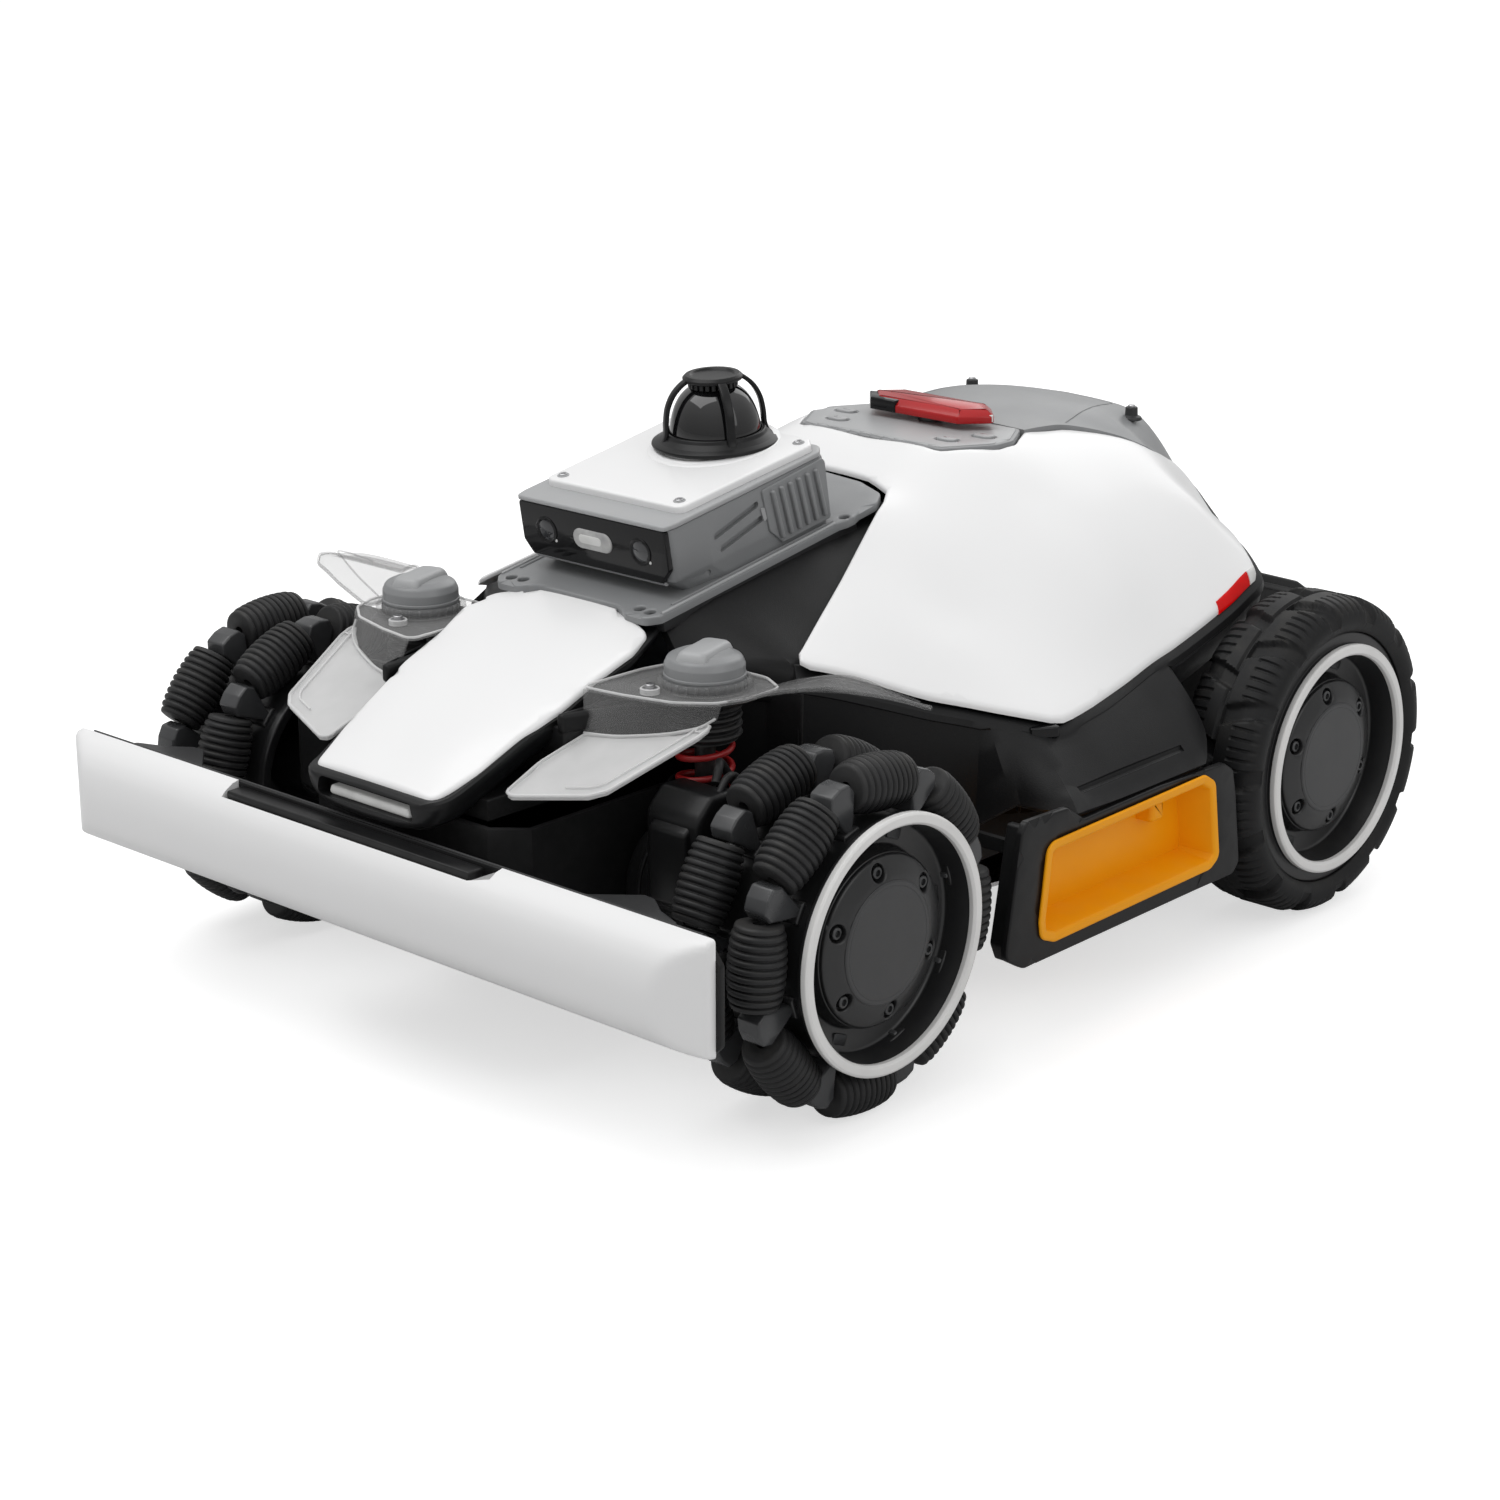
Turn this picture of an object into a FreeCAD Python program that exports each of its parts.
"""Robotic lawn mower, all-wheel drive, as an assembly of separate pieces.

Millimetres. The front faces -Y, the mower's left side is +X, up is +Z, and the
origin is on the ground under the centre of the machine.
"""
import FreeCAD, Part
import math
import os
from FreeCAD import Vector, Rotation, Placement
import Sketcher

# ---------------------------------------------------------------- driving dimensions
DIMENSIONS = {
    # wheels
    "wheel_r": 101.0, "axle_z": 101.0, "front_axle_y": -186.0, "rear_axle_y": 244.0,
    "ring_face": 264.0, "ring_outer": 72.9, "ring_inner": 66.0,
    "cap_r": 48.5, "cap_face": 257.0, "shaft_r": 8.0, "shaft_bore": 8.6,
    "row_outer": 240.0, "row_inner": 197.0, "roller_pitch_r": 85.0,
    "roller_half": 23.0, "roller_end_r": 13.2, "pin_bore": 3.5,
    "tyre_in": 80.0, "tyre_x0": 205.0, "tyre_x1": 262.0,
    # body
    "belly_z": 50.0, "deck_z": 150.0, "floor_t": 4.0, "mid_half": 222.0,
    "nose_half": 88.0, "tail_half": 172.0, "bay_top": 112.0, "skirt_z": 84.0,
    "shell_t": 3.5,
    # bumper
    "plate_half": 263.0, "plate_top": 142.5, "plate_low": 77.0,
    "plate_front": -323.0, "plate_back": -319.0, "cover_half": 260.0,
    # cutting unit
    "disc_x": 98.0, "disc_y": 31.0, "disc_r": 74.0, "disc_z": 56.0,
    "disc_t": 2.5, "motor_r": 36.0, "motor_hole": 40.0, "pivot_r": 66.0,
    # suspension
    "strut_x": 116.0, "strut_y": -177.0, "spring_low": 140.0, "tower_low": 206.0,
    "tower_top": 211.5, "spring_r": 15.0, "wire_r": 3.0, "rod_r": 6.0,
    "knob_r": 22.0,
    # vision module, in its own tilted frame
    "tilt": 9.6, "base_y": -156.0, "base_z": 240.4, "mod_half": 60.0,
    "mod_v0": 17.0, "mod_v1": 152.0, "mod_top": 43.5,
    # lidar
    "lidar_y": -43.0, "lidar_z": 309.6, "lidar_tilt": 4.0, "flange_r": 38.0,
    # top
    "panel_top": 292.0, "guard_x": 257.0, "guard_t": 4.0,
}

doc = FreeCAD.newDocument("mower")
sheet = doc.addObject("Spreadsheet::Sheet", "Dims")
for row, (alias, size) in enumerate(DIMENSIONS.items(), 1):
    sheet.set("A%d" % row, alias)
    sheet.set("B%d" % row, repr(size))
    sheet.setAlias("B%d" % row, alias)
doc.recompute()


class Linear:
    """A linear expression over the sheet's cells, with its present value."""

    def __init__(self, constant=0.0, factors=None):
        self.constant = float(constant)
        self.factors = dict(factors or {})

    @property
    def value(self):
        return self.constant + sum(k * DIMENSIONS[name] for name, k in self.factors.items())

    @property
    def expression(self):
        if not self.factors:
            return None
        terms = ["(%r) * Dims.%s" % (k, name) for name, k in self.factors.items()]
        return " + ".join(terms) + " + (%r)" % self.constant

    def __add__(self, other):
        other = linear(other)
        factors = dict(self.factors)
        for name, k in other.factors.items():
            factors[name] = factors.get(name, 0.0) + k
        return Linear(self.constant + other.constant, factors)

    def __mul__(self, factor):
        return Linear(self.constant * factor, {n: k * factor for n, k in self.factors.items()})

    def __neg__(self):
        return self * -1.0

    def __sub__(self, other):
        return self + (-linear(other))


def linear(x):
    return x if isinstance(x, Linear) else Linear(x)


class SheetCells:
    """Gives each aliased cell as an attribute, such as dim.wheel_r."""

    def __getattr__(self, alias):
        return Linear(0.0, {alias: 1.0})


dim = SheetCells()

# ---------------------------------------------------------------- modelling helpers
X_AXIS, Y_AXIS, Z_AXIS = Vector(1, 0, 0), Vector(0, 1, 0), Vector(0, 0, 1)
SIGNS = (1, -1)
SIDES = ((1, "left"), (-1, "right"))

pieces = {}
feature_count = [0]


def unique_name(stem):
    feature_count[0] += 1
    return "%s_%03d" % (stem, feature_count[0])


def new_body(label, placement=Placement()):
    part = doc.addObject("PartDesign::Body", label)
    part.Label = label
    part.AllowCompound = True
    part.Placement = placement
    pieces[label] = part
    return part


def origin_feature(part, role):
    return next(f for f in part.Origin.OriginFeatures if f.Role == role)


def bind(target, prop, size):
    """Give a property its value, and its expression when it has one."""
    size = linear(size)
    setattr(target, prop, size.value)
    if size.expression:
        target.setExpression(prop, size.expression)


def attached_sketch(part, plane, attachment, stem="Sketch"):
    profile = part.newObject("Sketcher::SketchObject", unique_name(stem))
    profile.AttachmentSupport = [(origin_feature(part, plane + "_Plane"), "")]
    profile.MapMode = "FlatFace"
    profile.AttachmentOffset = attachment
    return profile


def draw(profile, loops=(), circles=()):
    """Draw closed loops of points and (x, y, radius) circles, fully constrained."""
    sizes = []

    def fix(size, kind, *where):
        size = linear(size)
        index = profile.addConstraint(Sketcher.Constraint(kind, *where, size.value))
        sizes.append((index, size))

    for loop in loops:
        corners = [Vector(linear(x).value, linear(y).value, 0) for x, y in loop]
        n = len(corners)
        first = profile.GeometryCount
        profile.addGeometry([Part.LineSegment(corners[i], corners[(i + 1) % n])
                             for i in range(n)], False)
        profile.addConstraint([Sketcher.Constraint("Coincident", first + i, 2,
                                                   first + (i + 1) % n, 1) for i in range(n)])
        for i, (x, y) in enumerate(loop):
            fix(x, "DistanceX", -1, 1, first + i, 1)
            fix(y, "DistanceY", -1, 1, first + i, 1)
    for x, y, radius in circles:
        centre = Vector(linear(x).value, linear(y).value, 0)
        circle = Part.Circle(centre, Z_AXIS, linear(radius).value)
        index = profile.addGeometry(circle, False)
        fix(x, "DistanceX", -1, 1, index, 3)
        fix(y, "DistanceY", -1, 1, index, 3)
        fix(radius, "Radius", index)
    for index, size in sizes:
        if size.expression:
            profile.setExpression("Constraints[%d]" % index, size.expression)
    profile.Visibility = False


def sketch(part, plane, loops=(), circles=(), offset=0.0):
    """A sketch on one of the body's origin planes, moved along its normal."""
    offset = linear(offset)
    profile = attached_sketch(part, plane, Placement(Vector(0, 0, offset.value), Rotation()))
    if offset.expression:
        profile.setExpression("AttachmentOffset.Base.z", offset.expression)
    draw(profile, loops, circles)
    return profile


def extrude(part, kind, profile, start, end):
    feature = part.newObject("PartDesign::" + kind, unique_name(kind))
    feature.Profile = profile
    bind(feature, "Length", linear(end) - start)
    part.Tip = feature
    return feature


# The XZ plane's normal is -Y, so its offsets change sign and its pads run from the far end.
def add(part, plane, start, end, loops=(), circles=()):
    """Material between two coordinates along the plane's axis."""
    offset = -linear(end) if plane == "XZ" else start
    return extrude(part, "Pad", sketch(part, plane, loops, circles, offset), start, end)


def cut(part, plane, start, end, loops=(), circles=()):
    """Remove material between two coordinates along the plane's axis."""
    offset = -linear(start) if plane == "XZ" else end
    return extrude(part, "Pocket", sketch(part, plane, loops, circles, offset), start, end)


def turn(part, profile, axis):
    feature = part.newObject("PartDesign::Revolution", unique_name("Turn"))
    feature.Profile = profile
    feature.ReferenceAxis = (profile, [axis])
    feature.Angle = 360.0
    part.Tip = feature
    return feature


def revolve(part, points):
    """Turn a profile of (radius, height) points about the body's Z axis."""
    return turn(part, sketch(part, "XZ", [points]), "V_Axis")


def polar(part, feature, occurrences):
    """Repeat a feature around the body's Z axis."""
    pattern = part.newObject("PartDesign::PolarPattern", unique_name("Polar"))
    pattern.Originals = [feature]
    pattern.Axis = (origin_feature(part, "Z_Axis"), [""])
    pattern.Angle = 360.0
    pattern.Occurrences = occurrences
    part.Tip = pattern


def loft(part, stations):
    """A ruled loft through upright sections, each (y, loop of x and z)."""
    sections = [sketch(part, "XZ", [loop], (), -linear(y)) for y, loop in stations]
    feature = part.newObject("PartDesign::AdditiveLoft", unique_name("Loft"))
    feature.Profile = sections[0]
    feature.Sections = sections[1:]
    feature.Ruled = True
    part.Tip = feature


def dress(part, kind, prop, size, test):
    """Fillet or Chamfer on the tip's edges that pass the test."""
    doc.recompute()
    tip = part.Tip
    names = ["Edge%d" % i for i, edge in enumerate(tip.Shape.Edges, 1) if test(edge)]
    if not names:
        raise SystemExit("no edge to dress on " + part.Label)
    feature = part.newObject("PartDesign::" + kind, unique_name(kind))
    feature.Base = (tip, names)
    setattr(feature, prop, size)
    part.Tip = feature


# ---------------------------------------------------------------- outline helpers
def symmetric(half):
    """Close a half outline, given from the centre line outwards and back."""
    return list(half) + [(-linear(x), y) for x, y in reversed(half)
                         if abs(linear(x).value) > 1e-9]


def mirrored(points, sign):
    return [(linear(x) * sign, y) for x, y in points]


def both_sides(points):
    return [mirrored(points, sign) for sign in SIGNS]


def pair(x, y, radius):
    """A circle and its mirror image."""
    return [(x, y, radius), (-x, y, radius)]


def span(sign, inner, outer):
    """The range between two distances from the centre plane, on the sign's side."""
    return (inner, outer) if sign > 0 else (-outer, -inner)


def rect(x0, x1, y0, y1):
    return [(x0, y0), (x1, y0), (x1, y1), (x0, y1)]


def octagon(x, y, wide, tall):
    """An octagon from its corner offsets next to the ends and next to the long sides."""
    quarter = [(-wide[0], -wide[1]), (-tall[0], -tall[1]), (tall[0], -tall[1]), (wide[0], -wide[1])]
    return [(x + dx, y + dy) for dx, dy in quarter + [(-dx, -dy) for dx, dy in quarter]]


def across(half):
    """A line from -X to +X, given from its edge to the centre line."""
    return [(-x, z) for x, z in half] + [(x, z) for x, z in reversed(half) if x]


def between(upper, lower):
    """A closed section between two half lines, each given from edge to centre."""
    return across(upper) + across(lower)[::-1]


def polar_point(radius, angle):
    return radius * math.cos(angle), radius * math.sin(angle)


def inset(outline, distance):
    """Move each side of a clockwise outline inwards, or outwards when negative."""
    normals = [Vector(by - ay, ax - bx, 0).normalize()
               for (ax, ay), (bx, by) in zip(outline[-1:] + outline[:-1], outline)]
    moved = []
    for (x, y), before, after in zip(outline, normals, normals[1:] + normals[:1]):
        shift = before + after
        shift = shift * (distance / shift.dot(before))
        moved.append((x + shift.x, y + shift.y))
    return moved


# ================================================================ chassis
WALL = 4.0
FRAME_TOP = dim.deck_z + 6
BATTERY_Z = 160
NOSE_FRONT = [(0, -300), (70, -300), (dim.nose_half, -284)]
TAIL_BACK = [(dim.tail_half, 330), (150, 345), (0, 345)]
# half outline of the whole footprint (x, y)
FOOTPRINT = NOSE_FRONT + [
    (dim.nose_half, -76), (148, -76), (211, 24), (dim.mid_half, 50), (dim.mid_half, 128),
    (200, 137), (dim.tail_half, 141)] + TAIL_BACK
BUMPER_GUIDE = (40, 110)  # x, z


def chassis_tub():
    part = new_body("chassis_tub")
    nose, tail, middle = dim.nose_half - WALL, dim.tail_half - WALL, dim.mid_half - WALL
    # upper pan, then the nose and tail boxes and the short skirt of the cutting bay under it
    add(part, "XY", dim.bay_top, dim.deck_z, [symmetric(FOOTPRINT)])
    add(part, "XY", 76, dim.bay_top, [symmetric(NOSE_FRONT + [(dim.nose_half, -230), (0, -230)])])
    add(part, "XY", dim.belly_z, dim.bay_top, [rect(-dim.nose_half, dim.nose_half, -236, -64)])
    add(part, "XY", dim.belly_z, dim.bay_top,
        [symmetric([(0, 126), (dim.tail_half, 126)] + TAIL_BACK)])
    add(part, "XY", dim.skirt_z, dim.bay_top,
        [symmetric([(0, -70), (150, -70), (184, -16), (184, 130), (0, 130)])])
    # hollows above the floors, and the cutting bay from below
    floor, top = dim.belly_z + dim.floor_t, dim.deck_z
    cut(part, "XY", 80, top,
        [symmetric([(0, -296), (68, -296), (nose, -282), (nose, -228), (0, -228)])])
    cut(part, "XY", floor, top, [rect(-nose, nose, -232, -72)])
    cut(part, "XY", floor, top,
        [symmetric([(0, 144), (tail, 144), (tail, 328), (148, 341), (0, 341)])])
    cut(part, "XY", dim.bay_top + dim.floor_t, top,
        [symmetric([(0, -66), (149, -66), (207, 26), (middle, 52), (middle, 126), (0, 126)])])
    cut(part, "XY", dim.skirt_z, dim.bay_top,
        [symmetric([(0, -64), (146, -64), (179, -14), (179, 126), (0, 126)])])
    # openings that the two blade motors rise through
    cut(part, "XY", dim.bay_top, dim.bay_top + dim.floor_t, (),
        pair(dim.disc_x, dim.disc_y, dim.motor_hole))
    # rear drive shaft openings and the bumper's two guide holes
    cut(part, "YZ", -180, 180, (), [(dim.rear_axle_y, dim.axle_z, 12)])
    cut(part, "XZ", -301, -295, (), pair(*BUMPER_GUIDE, 7))
    for sign in SIGNS:
        # guard brackets
        add(part, "XZ", -58, -54, [mirrored([(150, 112), (150, 120), (253, 120), (253, 72),
                                             (243, 72), (237, 112)], sign)])
        add(part, "YZ", *span(sign, 221, 253), [rect(123, 127, 72, 119)])


# y, then x and z of the lower and of the upper corner
NECK = [(-148, (70, 206), (57, 235)), (-76, (106, 196), (60, 248)), (18, (150, 185), (60, 264))]
TAIL = [(236, (184, 196), (70, 266)), (300, (178, 200), (66, 242)),
        (330, (166, 200), (60, 226)), (345, (150, 190), (54, 212))]


def hood_section(y, low, top):
    inner = [(low[0] - 5, low[1]), (top[0] - WALL, top[1] - WALL)]
    return y, between([low, top], inner)


def body_frame():
    part = new_body("body_frame")
    add(part, "XY", dim.deck_z, FRAME_TOP, [symmetric(FOOTPRINT)])
    cut(part, "XY", dim.deck_z, FRAME_TOP,
        [symmetric([(0, -58), (142, -58), (198, 30), (206, 52), (206, 122), (0, 122)])])
    cut(part, "XY", dim.deck_z, FRAME_TOP, [rect(-160, 160, 150, 332)])
    for sign in SIGNS:
        # two side ledges sloping down outwards, a slanting front rib and a tail side wall
        add(part, "XZ", 44, 112, [mirrored(
            [(209, 152), (209, 166), (217, 166), (252.6, 136), (252.6, 128),
             (249.5, 127.6), (223, 145), (223, 152)], sign)])
        add(part, "XZ", -12, 44, [mirrored(
            [(214, 153), (214, 160), (219, 160), (251.6, 133.6), (251.6, 129),
             (249, 128.6), (224, 145.6), (224, 153)], sign)])
        add(part, "XY", 153, 163, [mirrored(
            [(146.3, -74.9), (209.3, 25.1), (206.3, 26.9), (143.3, -73.1)], sign)])
        add(part, "YZ", *span(sign, 160, 171), [
            [(132, 150), (132, 176), (170, 186), (242, 202), (330, 202), (330, 150)]])
    add(part, "XZ", 339, 345, [symmetric([(0, 150), (150, 150), (150, 190), (54, 212), (0, 212)])])
    # front wall of the middle body, falling away towards the wheels
    add(part, "XZ", -76, -70,
        [symmetric([(0, 150), (147, 150), (147, 180), (108, 197), (0, 197)])])
    # battery cross beams
    add(part, "XY", dim.deck_z, BATTERY_Z,
        [rect(-150, 150, -54, -44), rect(-208, 208, 100, 110)])
    # neck that carries the vision module
    loft(part, [hood_section(*station) for station in NECK])
    # tail, closing the back of the machine below the shell and the hatch
    loft(part, [hood_section(*station) for station in TAIL])


# ================================================================ nose
# y, then half width and z of the top and of the bottom
NOSE_BLOCK = [(-318, 47, 162, 43, 147), (-300, 53, 169, 50, 156.5), (-262, 59, 188, 54, 173),
              (-215, 63, 208, 58, 192), (-172, 64, 223, 60, 208), (-156, 56, 229, 52, 214)]
# y, half width, edge z, crown
NOSE_COVER = [(-319, 44, 166.5, 0.5), (-314, 53, 169.0, 1.5), (-292, 56.5, 179, 3),
              (-264, 60, 192.5, 4.5), (-239, 65, 203.5, 5), (-208, 67, 216.5, 5),
              (-187, 68, 225, 4), (-169, 64, 231, 3)]
SIDE_BAR = [(69, -246), (74, -246), (88, -206), (92, -176), (92, -148), (122, -122),
            (122, -77), (110, -77), (110, -116), (80, -142), (76, -176), (69, -206)]
STRUT_TOWER = [(78, -198), (104, -204), (130, -204), (141, -190), (141, -162),
               (130, -150), (104, -150), (78, -156)]


def nose_frame():
    part = new_body("nose_frame")
    loft(part, [(y, between([(top_x, top_z)], [(low_x, low_z)]))
                for y, top_x, top_z, low_x, low_z in NOSE_BLOCK])
    add(part, "XY", FRAME_TOP, 200, [symmetric([(0, -236), (46, -236), (46, -156), (0, -156)])])
    add(part, "XY", FRAME_TOP, 162, [symmetric([(0, -290), (60, -290), (60, -156), (0, -156)])])
    add(part, "XZ", -290, -284, [symmetric([(0, 156), (44, 156), (44, 172), (0, 172)])])
    for sign in SIGNS:
        # side bar from the nose to the middle body, and the strut tower and rod on it
        add(part, "XY", 192, 203, [mirrored(SIDE_BAR, sign)])
        add(part, "XY", 178, 195,
            [mirrored([(48, -244), (74, -244), (82, -216), (48, -216)], sign)])
        add(part, "XY", dim.tower_low, dim.tower_top, [mirrored(STRUT_TOWER, sign)])
        add(part, "XY", 200, dim.tower_top, [mirrored(rect(78, 90, -198, -156), sign)])
        add(part, "XY", 118, dim.tower_top, (), [(dim.strut_x * sign, dim.strut_y, dim.rod_r)])


def nose_cover():
    part = new_body("nose_cover")
    stations = []
    for y, half, z, crown in NOSE_COVER:
        shoulder_x, shoulder_z = half * 0.55, z + crown * 0.75
        upper = [(half, z), (shoulder_x, shoulder_z + 2.2), (0, z + crown + 2.4)]
        lower = [(half - 1.5, z - 2.4), (shoulder_x, shoulder_z - 0.8), (0, z + crown - 0.6)]
        stations.append((y, between(upper, lower)))
    loft(part, stations)


def headlight_lens():
    add(new_body("headlight_lens"), "XZ", -323, -318.2,
        [[(-34, 153), (34, 153), (31, 159.5), (-31, 159.5)]])


# ================================================================ shell and top
# y, then x and z of the upper and of the lower edge, and the crown at the centre;
# the lower edge sweeps out from the tip to the widest corner, then rises over the rear wheel
MAIN_SHELL = [(-122, 60, 264, 131, 218.5, 2), (16, 63, 272, 215, 170, 3),
              (60, 68, 281, 212.5, 173, 4), (97, 74, 287.5, 208, 178, 4),
              (180, 76, 290, 201, 192, 2), (218, 76, 286, 198, 201, 3),
              (245, 90, 280, 195, 208, 4), (309, 84, 252, 186, 213, 6)]
# half outlines of the openings (x, y)
NECK_OPENING = [(0, 58), (34, 54.5), (60, 45), (68.5, 31), (131, -117), (138, -130), (0, -130)]
TOP_OPENING = [(0, 96), (58, 96), (77, 128), (77, 146), (59.5, 176), (65, 215), (87, 241),
               (98.6, 262.5), (87, 297), (82, 322), (0, 322)]
PANEL = [(0, 97), (57.4, 97), (76, 128.4), (76, 145.6), (58.2, 175.2), (0, 175.2)]
PANEL_UNDERSIDE = dim.panel_top - 5
BOARD_Z, BOARD_TOP = 270, 272
KEYS = {"start_key": (45, 119), "mow_key": (56.5, 141),
        "home_key": (-45, 119), "power_key": (-56.5, 141)}
STOP_Y = 158
STOP_TOP = dim.panel_top + 11
# y, centre z, shoulder x and z, edge x and z
REAR_COVER = [(177, 292, 40, 292, 58.4, 291), (216, 293.5, 44, 293.5, 64, 289),
              (242, 294, 56, 292.5, 86, 282), (263, 293.5, 58, 291.5, 97.5, 271.5),
              (296, 290, 54, 287, 86, 258), (322, 281, 46, 277, 76, 246),
              (338, 264, 40, 260, 68, 234), (346, 240, 36, 238, 60, 222)]
REAR_COVER_T = 3.5


def shell_section(y, top_x, top_z, low_x, low_z, crown):
    thick = dim.shell_t.value
    mid_x, mid_z = (top_x + low_x) / 2.0 + 4.0, (top_z + low_z) / 2.0 + 5.0
    outer = [(0, top_z + crown), (top_x, top_z), (mid_x, mid_z), (low_x, low_z)]
    inner = [(low_x - thick - 1.5, low_z), (mid_x - 2.2, mid_z - thick - 0.6),
             (top_x - 1.5, top_z - thick), (0, top_z + crown - thick)]
    return y, symmetric(outer + inner)


def main_shell():
    part = new_body("main_shell")
    loft(part, [shell_section(*station) for station in MAIN_SHELL])
    cut(part, "XY", 150, 320, [symmetric(NECK_OPENING)])
    # the slanting rear corners, then the opening for the panel and the rear cover
    cut(part, "XY", 150, 320, both_sides([(84, 305), (200, 243), (200, 320), (84, 320)]))
    cut(part, "XY", 200, 320, [symmetric(TOP_OPENING)])


def control_panel():
    part = new_body("control_panel")
    low, top = PANEL_UNDERSIDE, dim.panel_top
    add(part, "XY", low, top, [symmetric(PANEL)])
    for x, y in KEYS.values():
        cut(part, "XY", low, top, [octagon(x, y, (7.6, 2.4), (4.6, 4.8))])
    cut(part, "XY", low, top, (), [(0, STOP_Y, 9)])
    # posts down to the control board
    add(part, "XY", BOARD_TOP, low, (), pair(40, 104, 3) + pair(52, 160, 3))


def panel_key(name, x, y):
    add(new_body(name), "XY", 288, dim.panel_top + 1.4, [octagon(x, y, (7, 2.1), (4.3, 4.2))])


def stop_button():
    part = new_body("stop_button")
    add(part, "XY", dim.panel_top + 3.5, STOP_TOP,
        [[(-50, STOP_Y), (-34, 142), (34, 142), (50, STOP_Y), (34, 176), (-34, 176)]])
    dress(part, "Chamfer", "Size", 3.0,
          lambda edge: abs(edge.CenterOfMass.z - STOP_TOP.value) < 1e-3)
    add(part, "XY", 283, dim.panel_top + 4, (), [(0, STOP_Y, 8)])


def rear_cover():
    """A crowned hatch."""
    stations = []
    for y, centre_z, shoulder_x, shoulder_z, edge_x, edge_z in REAR_COVER:
        upper = [(edge_x, edge_z), (shoulder_x, shoulder_z), (0, centre_z)]
        lower = [(edge_x - REAR_COVER_T - 1, edge_z - 1),
                 (shoulder_x - 1.5, shoulder_z - REAR_COVER_T), (0, centre_z - REAR_COVER_T)]
        stations.append((y, between(upper, lower)))
    loft(new_body("rear_cover"), stations)


def control_board():
    add(new_body("control_board"), "XY", BOARD_Z, BOARD_TOP, [rect(-60, 60, 98, 172)])


def rain_sensors():
    add(new_body("rain_sensors"), "XY", 294, 299.5, (), pair(68, 282, 4))


def tail_lights():
    part = new_body("tail_lights")
    for sign in SIGNS:
        add(part, "YZ", *span(sign, 200.5, 203.5),
            [[(192, 192.5), (238, 206), (238, 211.5), (194, 200)]])


# ================================================================ side guards
# outer outline and opening (y, z), clockwise
GUARD = [(-67, 138.0), (-29, 136.9), (-13, 126.4), (126, 125.4), (135, 119.8), (139, 104),
         (146, 57.5), (140, 51.6), (101, 51.6), (-68, 50.4), (-82, 61), (-82.5, 64), (-70, 133)]
GUARD_HOLE = [(-43, 119), (103, 122), (112.5, 116), (119.5, 69), (112, 64.4), (-40, 62),
              (-51, 66.4), (-52.5, 75), (-47, 116)]


def side_guards():
    part = new_body("side_guards")
    for sign in SIGNS:
        add(part, "YZ", *span(sign, dim.guard_x - dim.guard_t, dim.guard_x),
            [GUARD, GUARD_HOLE])


def guard_inserts():
    """Trays that fill the guard openings, with a rim outside and an open outer side."""
    part = new_body("guard_inserts")
    face = dim.guard_x
    for sign in SIGNS:
        add(part, "YZ", *span(sign, 231, face), [inset(GUARD_HOLE, 0.5)])
        add(part, "YZ", *span(sign, face, face + 1.5), [inset(GUARD_HOLE, -2.0)])
        cut(part, "YZ", *span(sign, 233.5, face + 1.5), [inset(GUARD_HOLE, 5.0)])


# ================================================================ vision module
# local frame: y runs back along the module and z up from its base
VISION = Placement(Vector(0, dim.base_y.value, dim.base_z.value),
                   Rotation(X_AXIS, dim.tilt.value))
MOD_HALF, MOD_FRONT, MOD_BACK, MOD_TOP = dim.mod_half, dim.mod_v0, dim.mod_v1, dim.mod_top
TOP_COVER_T = 2.6
RAISED_TOP = MOD_TOP + 6.5


def vision_base():
    add(new_body("vision_base", VISION), "XY", -4, 0, [symmetric(
        [(0, -3), (34, -3), (42, -9), (60, -9), (66, -3), (66, 186), (58, 199), (34, 209),
         (0, 213)])])


def vision_housing():
    part = new_body("vision_housing", VISION)
    inner, front, back = MOD_HALF - WALL, MOD_FRONT + WALL, MOD_BACK - WALL
    add(part, "XY", 0, MOD_TOP,
        [symmetric([(0, MOD_FRONT), (MOD_HALF, MOD_FRONT), (MOD_HALF, MOD_BACK), (0, MOD_BACK)])])
    cut(part, "XY", 0, MOD_TOP - 3,
        [symmetric([(0, front), (inner, front), (inner, back), (0, back)])])
    cut(part, "YZ", -61, 61, [[(16, -0.5), (24, -0.5), (16, 10)]])
    # two long grooves and five slanting ones on each side
    grooves = [[(52, 19), (92, 27), (92, 31), (54, 23)], [(56, 11), (96, 19), (96, 23), (58, 15)]]
    for i in range(5):
        y = 100 + 9 * i
        grooves.append([(y, 8), (y + 3, 8), (y + 7, 38), (y + 4, 38)])
    for sign in SIGNS:
        cut(part, "YZ", *span(sign, MOD_HALF - 2.5, MOD_HALF + 1), grooves)


def vision_window():
    add(new_body("vision_window", VISION), "XZ", MOD_FRONT - 3, MOD_FRONT,
        [symmetric([(0, 10), (52.5, 10), (58.9, 19), (58.9, 43.4), (0, 43.4)])])


def camera_lenses():
    add(new_body("camera_lenses", VISION), "XZ", MOD_FRONT - 4, MOD_FRONT - 3,
        [octagon(0, 27.5, (12, 2.5), (9.5, 6))], pair(38, 27.5, 7))


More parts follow.
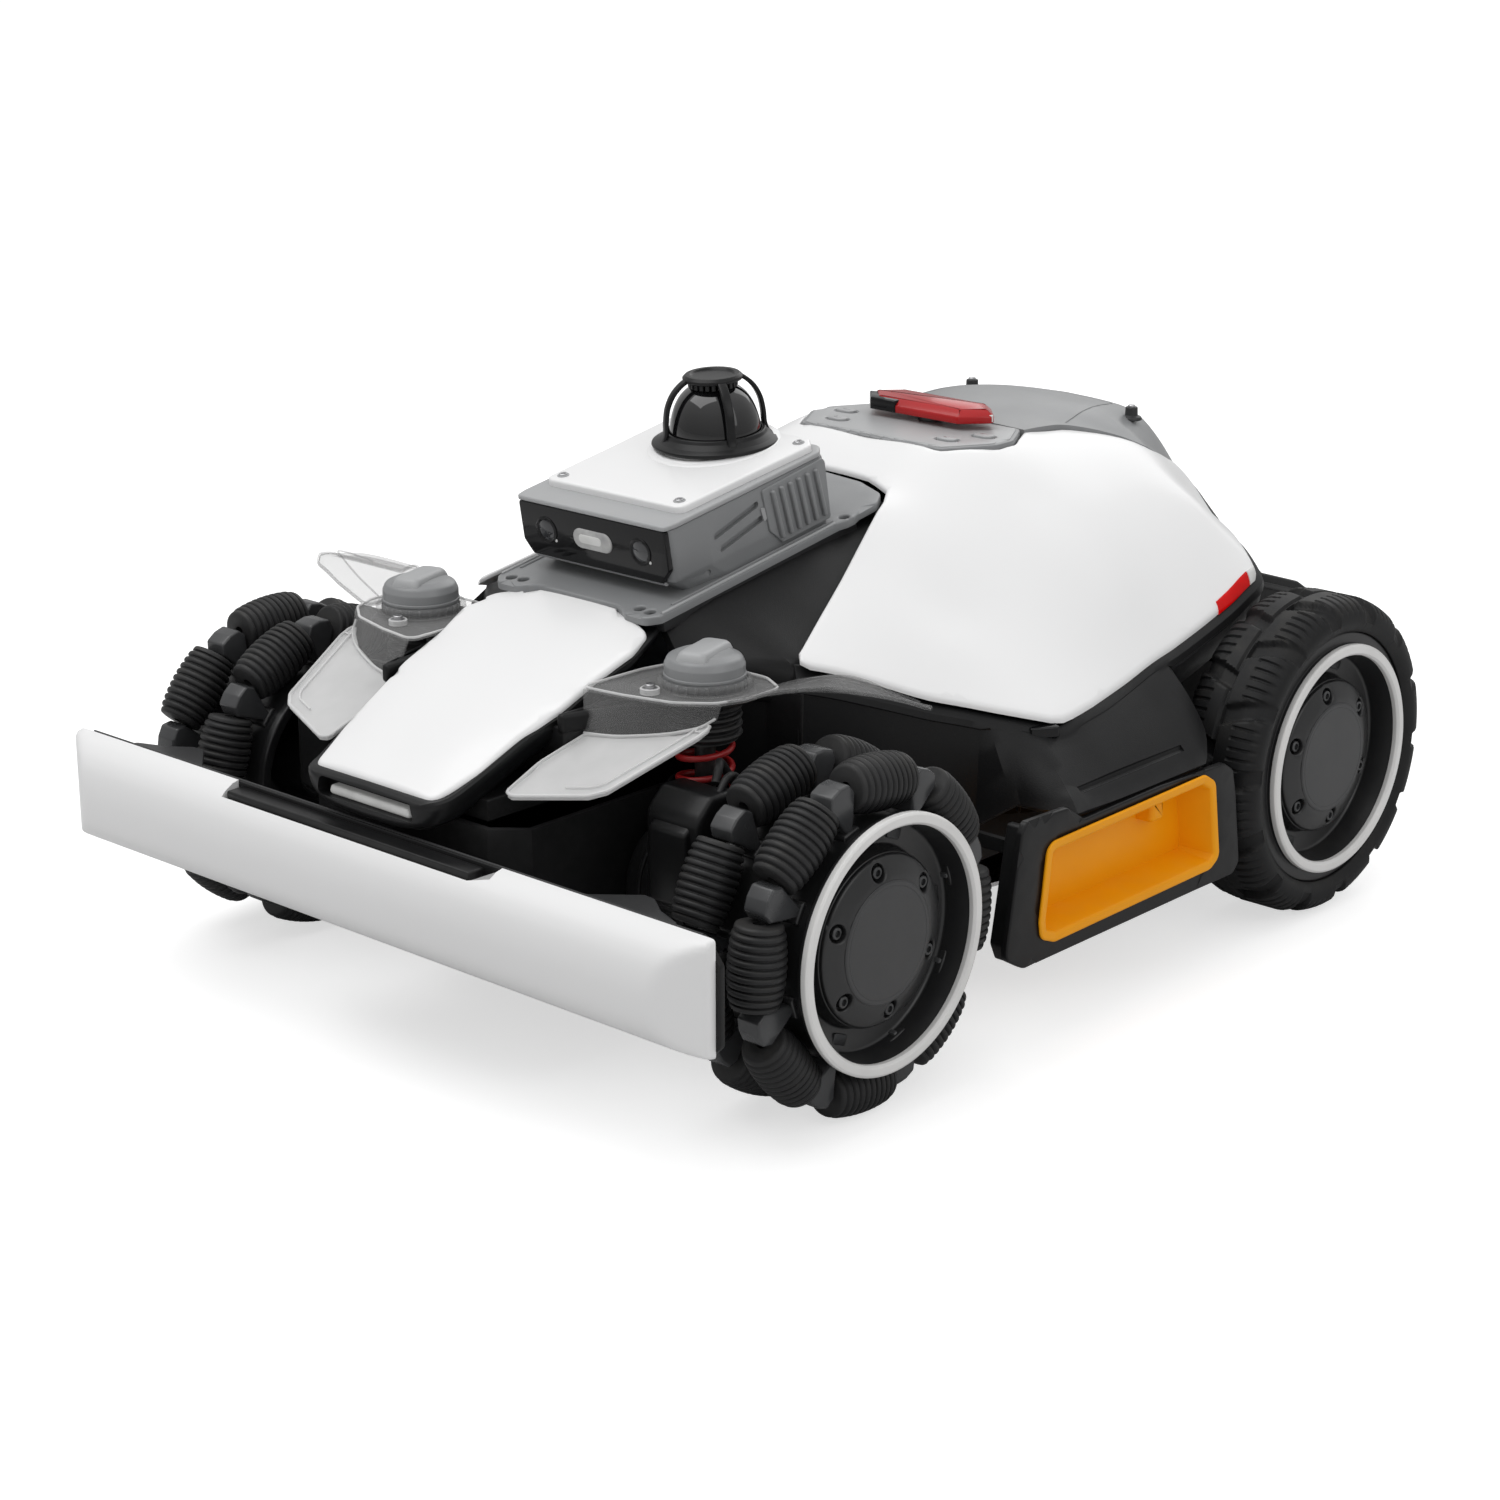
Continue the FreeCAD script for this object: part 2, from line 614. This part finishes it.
def vision_top_cover():
    part = new_body("vision_top_cover", VISION)
    add(part, "XY", MOD_TOP, MOD_TOP + TOP_COVER_T, [symmetric(
        [(0, MOD_FRONT - 3), (59.5, MOD_FRONT - 3), (61, MOD_FRONT), (61, MOD_BACK - 6),
         (54, MOD_BACK + 2), (0, MOD_BACK + 2)])])
    add(part, "XY", MOD_TOP + TOP_COVER_T, RAISED_TOP,
        [symmetric([(0, 34), (50, 34), (55, 39), (55, 143), (48, 149), (0, 149)])])
    # round seat under the scanner, cut off along the scanner's own plane
    add(part, "XY", MOD_TOP, MOD_TOP + 12, (), [(0, 121, 36)])
    cut(part, "YZ", -41, 41, [[(82, 53.9), (164, 45.86), (164, 80), (82, 80)]])


def cover_screws():
    part = new_body("cover_screws", VISION)
    add(part, "XY", RAISED_TOP, RAISED_TOP + 1.2, (), pair(47, 41, 2.8) + pair(47, 141, 2.8))
    add(part, "XY", 0, 1.2, (), pair(47, 0, 2.6) + pair(56, -1, 2.6) + pair(62.5, 158, 2.6))


# ================================================================ lidar
LIDAR = Placement(Vector(0, dim.lidar_y.value, dim.lidar_z.value),
                  Rotation(X_AXIS, dim.lidar_tilt.value))
# radius, height
CAGE = [(0, 0.6), (dim.flange_r - 2, 0.6), (dim.flange_r, 1.6), (dim.flange_r, 2.6), (34, 4.4),
        (30.4, 8), (28.6, 26), (24, 34), (17.5, 40.6), (15.5, 41.6), (0, 41.6), (0, 38.8),
        (15, 38.8), (21.6, 32.6), (26, 25), (28.1, 7), (28.1, 3.4), (0, 3.4)]
DOME = [(0, 37.8), (10, 36.8), (18.6, 31.6), (23.6, 25.2), (26.6, 14), (27.4, 3.5),
        (25.4, 3.5), (24.6, 14), (21.8, 24.2), (17.2, 30), (9.4, 34.8), (0, 35.8)]
# angle in radians, radius
CAGE_WINDOW = [(0.16, 17), (0.085, 40), (math.pi / 4, 52),
               (math.pi / 2 - 0.085, 40), (math.pi / 2 - 0.16, 17)]


def lidar_cage():
    part = new_body("lidar_cage", LIDAR)
    revolve(part, CAGE)
    windows = []
    for k in range(4):
        start = math.radians(-29 + 90 * k)
        windows.append([polar_point(radius, start + angle) for angle, radius in CAGE_WINDOW])
    cut(part, "XY", 6.6, 37.4, windows)


def lidar_dome():
    revolve(new_body("lidar_dome", LIDAR), DOME)


def lidar_rotor():
    revolve(new_body("lidar_rotor", LIDAR), [(0, 5), (19, 5), (20, 6), (20, 20), (16, 27), (0, 27)])


# ================================================================ suspension covers and caps
COVER_PLATE = [(72, -236), (84, -244), (128, -226), (147, -208), (152, -186), (152, -146),
               (128, -140), (96, -142), (74, -160)]
UPPER_PLATE = [(146, -190), (190, -192), (214, -176), (222, -146), (212, -124), (178, -124),
               (146, -140)]
WINGLET_TRIM_INNER = [(60, -320), (84, -298), (112, -252), (126, -232), (126, -200), (60, -200)]
WINGLET_TRIM_OUTER = [(96, -320), (96, -304.5), (126, -276), (146, -226), (160, -226), (160, -320)]


def clear_covers():
    part = new_body("clear_covers")
    low = dim.tower_top + 0.6
    top, upper_top = low + 2.5, 224.2
    for sign in SIGNS:
        add(part, "XY", low, top, [mirrored(COVER_PLATE, sign)])
        cut(part, "XY", low, top, (), [(dim.strut_x * sign, dim.strut_y, 24)])
        add(part, "XY", 222, upper_top, [mirrored(UPPER_PLATE, sign)])
        add(part, "YZ", *span(sign, 146, 149), [rect(-190, -146, low, upper_top)])
        # forward winglet, sloping down towards the bumper
        add(part, "YZ", *span(sign, 84, 144), [
            [(-304, 174), (-276, 177.5), (-222, 204), (-214, low), (-214, top),
             (-224, 207), (-278, 180.5), (-304, 177)]])
        cut(part, "XY", 170, low,
            [mirrored(WINGLET_TRIM_INNER, sign), mirrored(WINGLET_TRIM_OUTER, sign)])


def suspension_cap(sign, side):
    place = Placement(Vector(dim.strut_x.value * sign, dim.strut_y.value, 0), Rotation())
    part = new_body("suspension_cap_" + side, place)
    revolve(part, [(0, 212), (dim.knob_r, 212), (dim.knob_r, 218), (20, 222), (14, 224.5),
                   (0, 225.5)])
    add(part, "XY", 221, 230, [rect(-4, 4, -19, 19)])


# ================================================================ front suspension and wheels
SPRING_PITCH = 10.6
SPRING_GAP = 0.5
ROLLERS = 8
TREAD_GROOVES = 24
# rows of rollers: distance from the centre plane, roller angle and lug angle in degrees
ROLLER_ROWS = ((dim.row_outer, 0.0, 22.5), (dim.row_inner, 22.5, 0.0))
ROW_TURN = -5.0
RING_SEAT = dim.ring_face - 4
# outer face shared by both kinds of wheel (radius, distance from the centre plane)
WHEEL_FACE = [(dim.ring_outer, 257.5), (dim.ring_outer, RING_SEAT),
              (dim.ring_inner - 0.5, RING_SEAT), (64, 243), (50, 240), (dim.cap_r, 252),
              (44, dim.cap_face), (0, dim.cap_face)]
# lug outline (radius, sideways)
LUG = [(63, -1.6), (70, -3.3), (88, -10.6), (94, -7.5), (95.5, 0), (94, 7.5), (88, 10.6),
       (70, 3.3), (63, 1.6)]


def wheel_placement(sign, axle_y):
    """Local +Z points outwards along the axle; local z is the distance from the centre plane."""
    return Placement(Vector(0, axle_y.value, dim.axle_z.value), Rotation(Y_AXIS, 90.0 * sign))


def knuckle(sign, side):
    part = new_body("knuckle_" + side, wheel_placement(sign, dim.front_axle_y))
    revolve(part, [(0, 92), (30, 92), (34, 96), (34, 160), (28, 168), (dim.shaft_r, 168),
                   (dim.shaft_r, 198), (0, 198)])
    # spring seat: a boss on top of the motor housing, bored for the rod;
    # local x runs down for the left wheel and up for the right
    strut = (dim.strut_y - dim.front_axle_y, dim.strut_x)
    seat = dim.spring_low - dim.axle_z
    add(part, "YZ", *span(-sign, 10, seat), (), [(*strut, 19)])
    cut(part, "YZ", *span(-sign, 4, seat), (), [(*strut, dim.rod_r + 0.6)])


def spring(sign, side):
    helix = doc.addObject("Part::Helix", "helix_" + side)
    helix.Pitch = SPRING_PITCH
    bind(helix, "Height",
         dim.tower_low - dim.spring_low - dim.wire_r * 2 - 2 * SPRING_GAP)
    bind(helix, "Radius", dim.spring_r)
    wire = doc.addObject("Part::Circle", "wire_" + side)
    bind(wire, "Radius", dim.wire_r)
    wire.Placement = Placement(Vector(dim.spring_r.value, 0, 0), Rotation(X_AXIS, 90))
    coil = doc.addObject("Part::Sweep", "spring_" + side)
    coil.Sections = [wire]
    coil.Spine = (helix, ["Edge1"])
    coil.Solid = True
    coil.Frenet = True
    coil.Label = "spring_" + side
    base_z = dim.spring_low + dim.wire_r + SPRING_GAP
    coil.Placement = Placement(
        Vector(dim.strut_x.value * sign, dim.strut_y.value, base_z.value), Rotation())
    pieces[coil.Label] = coil


def cap_studs(part):
    """Six round recesses in the wheel cap, each with a stud in it."""
    for k in range(6):
        x, y = polar_point(40.5, math.radians(60 * k))
        cut(part, "XY", dim.cap_face - 3, dim.cap_face, (), [(x, y, 5.2)])
        add(part, "XY", dim.cap_face - 3.5, dim.cap_face - 0.4, (), [(x, y, 3.6)])


def front_hub(sign, side):
    part = new_body("front_hub_" + side, wheel_placement(sign, dim.front_axle_y))
    revolve(part, [(dim.shaft_bore, 178), (24, 178), (24, 228), (60, 228), (60, 180), (66, 180),
                   (67, 184), (67, 257.5)] + WHEEL_FACE + [(0, 202), (dim.shaft_bore, 202)])
    for row_z, _, lug_angle in ROLLER_ROWS:
        # fork lugs that stand between neighbouring rollers
        angle = math.radians(lug_angle + ROW_TURN)
        cos, sin = math.cos(angle), math.sin(angle)
        outline = [(r * cos - w * sin, r * sin + w * cos) for r, w in LUG]
        polar(part, add(part, "XY", row_z - 8, row_z + 8, [outline]), ROLLERS)
    cap_studs(part)


def front_rollers(sign, side):
    part = new_body("front_rollers_" + side, wheel_placement(sign, dim.front_axle_y))
    half, end_r, bore = dim.roller_half, dim.roller_end_r, dim.pin_bore
    # barrel whose outline follows the wheel's rim (along the roller, radius)
    barrel = [(-half, bore), (half, bore), (half, end_r), (16, 14.7), (8, 15.7),
              (0, dim.wheel_r - dim.roller_pitch_r), (-8, 15.7), (-16, 14.7), (-half, end_r)]
    for row_z, roller_angle, _ in ROLLER_ROWS:
        angle = math.radians(roller_angle + ROW_TURN)
        # sketch x lies along the roller's own axis, sketch y points out from the wheel's axle
        tangent = Vector(-math.sin(angle), math.cos(angle), 0)
        radial = Vector(math.cos(angle), math.sin(angle), 0)
        place = Placement(radial * dim.roller_pitch_r.value + Vector(0, 0, row_z.value),
                          Rotation(tangent, radial, tangent.cross(radial), "ZXY"))
        plane_frame = Placement(Vector(), Rotation(X_AXIS, 90))
        profile = attached_sketch(part, "XZ", plane_frame.inverse() * place, "Roller")
        draw(profile, [barrel])
        polar(part, turn(part, profile, "H_Axis"), ROLLERS)


def rear_rim(sign, side):
    part = new_body("rear_rim_" + side, wheel_placement(sign, dim.rear_axle_y))
    revolve(part, [(dim.shaft_bore, 190), (22, 190), (22, 234), (72, 234), (72, 208),
                   (dim.tyre_in, 208), (dim.tyre_in, 257.5)] + WHEEL_FACE +
            [(0, 212), (dim.shaft_bore, 212)])
    cap_studs(part)


def rear_tyre(sign, side):
    part = new_body("rear_tyre_" + side, wheel_placement(sign, dim.rear_axle_y))
    inner, outer, rim = dim.tyre_x0, dim.tyre_x1, dim.wheel_r
    revolve(part, [(dim.tyre_in, inner + 3), (88, inner), (rim - 6, inner + 1),
                   (rim - 1, inner + 7), (rim, inner + 14), (rim, outer - 14),
                   (rim - 1, outer - 7), (rim - 6, outer - 1), (88, outer),
                   (dim.tyre_in, outer - 4)])
    groove = cut(part, "XY", inner - 1, outer + 1, [rect(rim - 3.5, rim + 4, -2.5, 2.5)])
    polar(part, groove, TREAD_GROOVES)


def wheel_ring(end, axle_y, sign, side):
    part = new_body("%s_ring_%s" % (end, side), wheel_placement(sign, axle_y))
    inner, outer, face = dim.ring_inner, dim.ring_outer, dim.ring_face
    revolve(part, [(inner, RING_SEAT), (outer, RING_SEAT), (outer, face - 1.5),
                   (outer - 1.4, face), (inner + 1.2, face), (inner, face - 1.2)])


def rear_motors():
    part = new_body("rear_motors")
    for sign in SIGNS:
        # motor, then its shaft
        for inner, outer, radius in ((80, 160, 30), (160, 206, dim.shaft_r)):
            add(part, "YZ", *span(sign, inner, outer), (), [(dim.rear_axle_y, dim.axle_z, radius)])


# ================================================================ bumper
# outer and inner profile of the cover (y, z)
COVER_OUTER = [(-323, 143.3), (-331, 140.2), (-338.5, 133.8), (-342.5, 127.2), (-344.9, 115.2),
               (-344.6, 102.4), (-343.3, 90.7), (-336.6, 82.6), (-328, 79), (-323, 78.2)]
COVER_INNER = [(-322, 140), (-330, 137), (-336, 131.6), (-339.4, 126), (-341.6, 115),
               (-341.4, 103), (-340.2, 92.4), (-335, 86), (-328, 82.2), (-322, 81.4)]


def bumper_plate():
    part = new_body("bumper_plate")
    half, low, top = dim.plate_half, dim.plate_low, dim.plate_top
    add(part, "XZ", dim.plate_front, dim.plate_back, [symmetric(
        [(0, low), (half - 8, low), (half, low + 8), (half, top - 14), (half - 12, top),
         (0, top)])])
    add(part, "XZ", -334, dim.plate_front, [rect(-110, 92, 128, 141.5)])
    # guide pins
    add(part, "XZ", dim.plate_back, -282, (), pair(*BUMPER_GUIDE, 6))
    for sign in SIGNS:
        add(part, "XY", 136, 139, [mirrored(
            [(150, -319.5), (226, -319.5), (210, -308), (196, -300), (188, -294), (184, -294)],
            sign)])


def bumper_cover():
    part = new_body("bumper_cover")
    half = dim.cover_half
    add(part, "YZ", -half, half, [COVER_OUTER])
    cut(part, "YZ", -half + 26, half - 26, [COVER_INNER])
    # bevelled front corners, then the notch over the plate's raised block
    cut(part, "XY", 70, 150, both_sides(
        [(half - 19, -346), (half - 1.0, -333), (half + 1, -329), (half + 3, -346)]))
    cut(part, "XY", 126, 150, [[(-112, -322), (-112, -336), (94, -336), (104, -322)]])


# ================================================================ cutting unit
CARRIAGE_Z, CARRIAGE_TOP = 84, 88
BLADE = [(-7, -6), (-4, -9), (24, -9), (26, -7), (26, 7), (24, 9), (-4, 9), (-7, 6)]


def cutter_carriage():
    part = new_body("cutter_carriage")
    add(part, "XY", CARRIAGE_Z, CARRIAGE_TOP, [symmetric(
        [(0, -8), (60, -8), (98, -10), (132, 4), (142, 31), (132, 58), (98, 72), (60, 70),
         (0, 70)])])
    cut(part, "XY", CARRIAGE_Z, CARRIAGE_TOP, (), pair(dim.disc_x, dim.disc_y, 12))


def blade_motors():
    part = new_body("blade_motors")
    for sign in SIGNS:
        centre = (dim.disc_x * sign, dim.disc_y)
        add(part, "XY", CARRIAGE_TOP, 140, (), [(*centre, dim.motor_r)])
        add(part, "XY", 60, 88.5, (), [(*centre, 5)])


def blade(name, x, y, angle):
    part = new_body(name, Placement(Vector(x, y, 0), Rotation(Z_AXIS, angle)))
    add(part, "XY", dim.disc_z - 2.3, dim.disc_z - 1.3, [BLADE], [(0, 0, 3.1)])


def cutting_disc(sign, side):
    """A disc with its three pivot screws, and the three blades on them."""
    centre_x, centre_y = dim.disc_x.value * sign, dim.disc_y.value
    part = new_body("disc_" + side, Placement(Vector(centre_x, centre_y, 0), Rotation()))
    low, top = dim.disc_z, dim.disc_z + dim.disc_t
    revolve(part, [(0, low - 4), (20, low - 4), (22, low - 2), (22, low), (dim.disc_r, low),
                   (dim.disc_r, top), (22, top), (18, 74), (5.6, 74), (5.6, 58), (0, 58)])
    for k in range(3):
        angle = math.radians((90 if sign > 0 else 30) + 120 * k)
        x, y = polar_point(dim.pivot_r.value, angle)
        # shouldered pivot screw under the disc
        add(part, "XY", low - 3.4, low, (), [(x, y, 2.5)])
        add(part, "XY", low - 4.6, low - 3.4, (), [(x, y, 5)])
        blade("blade_%s_%d" % (side, k + 1), centre_x + x, centre_y + y, math.degrees(angle))


def is_vertical(edge):
    start, end = (vertex.Point for vertex in edge.Vertexes)
    return (end - start).cross(Z_AXIS).Length < 1e-6


def battery_pack():
    part = new_body("battery_pack")
    add(part, "XY", BATTERY_Z, 224, [rect(-70, 70, -54, 114)])
    dress(part, "Fillet", "Radius", 6.0, is_vertical)


# ================================================================ assembly
def build(*makers):
    for make in makers:
        make()


build(chassis_tub, body_frame, nose_frame, nose_cover, headlight_lens, main_shell, control_panel)
for key_name, (key_x, key_y) in KEYS.items():
    panel_key(key_name, key_x, key_y)
build(stop_button, rear_cover, control_board, rain_sensors, tail_lights, side_guards,
      guard_inserts, vision_base, vision_housing, vision_window, camera_lenses,
      vision_top_cover, cover_screws, lidar_cage, lidar_dome, lidar_rotor, clear_covers)
for side_of_mower in SIDES:
    suspension_cap(*side_of_mower)
for side_of_mower in SIDES:
    for make_piece in (knuckle, spring, front_hub, front_rollers, rear_rim, rear_tyre):
        make_piece(*side_of_mower)
    wheel_ring("front", dim.front_axle_y, *side_of_mower)
    wheel_ring("rear", dim.rear_axle_y, *side_of_mower)
build(rear_motors, bumper_plate, bumper_cover, cutter_carriage, blade_motors)
for side_of_mower in SIDES:
    cutting_disc(*side_of_mower)
battery_pack()

# ================================================================ validation and export
doc.recompute()
failed = [o.Name + ":" + ",".join(o.State) for o in doc.Objects
          if "Invalid" in o.State or "Error" in o.State]
for name, piece in pieces.items():
    shape = piece.Shape
    if shape.isNull() or not shape.isValid() or not shape.Solids:
        failed.append("shape of " + name)
if failed:
    raise SystemExit("failed objects: " + "; ".join(failed[:20]))
os.makedirs("parts", exist_ok=True)
for name, piece in pieces.items():
    piece.Shape.exportStep("parts/%s.step" % name)
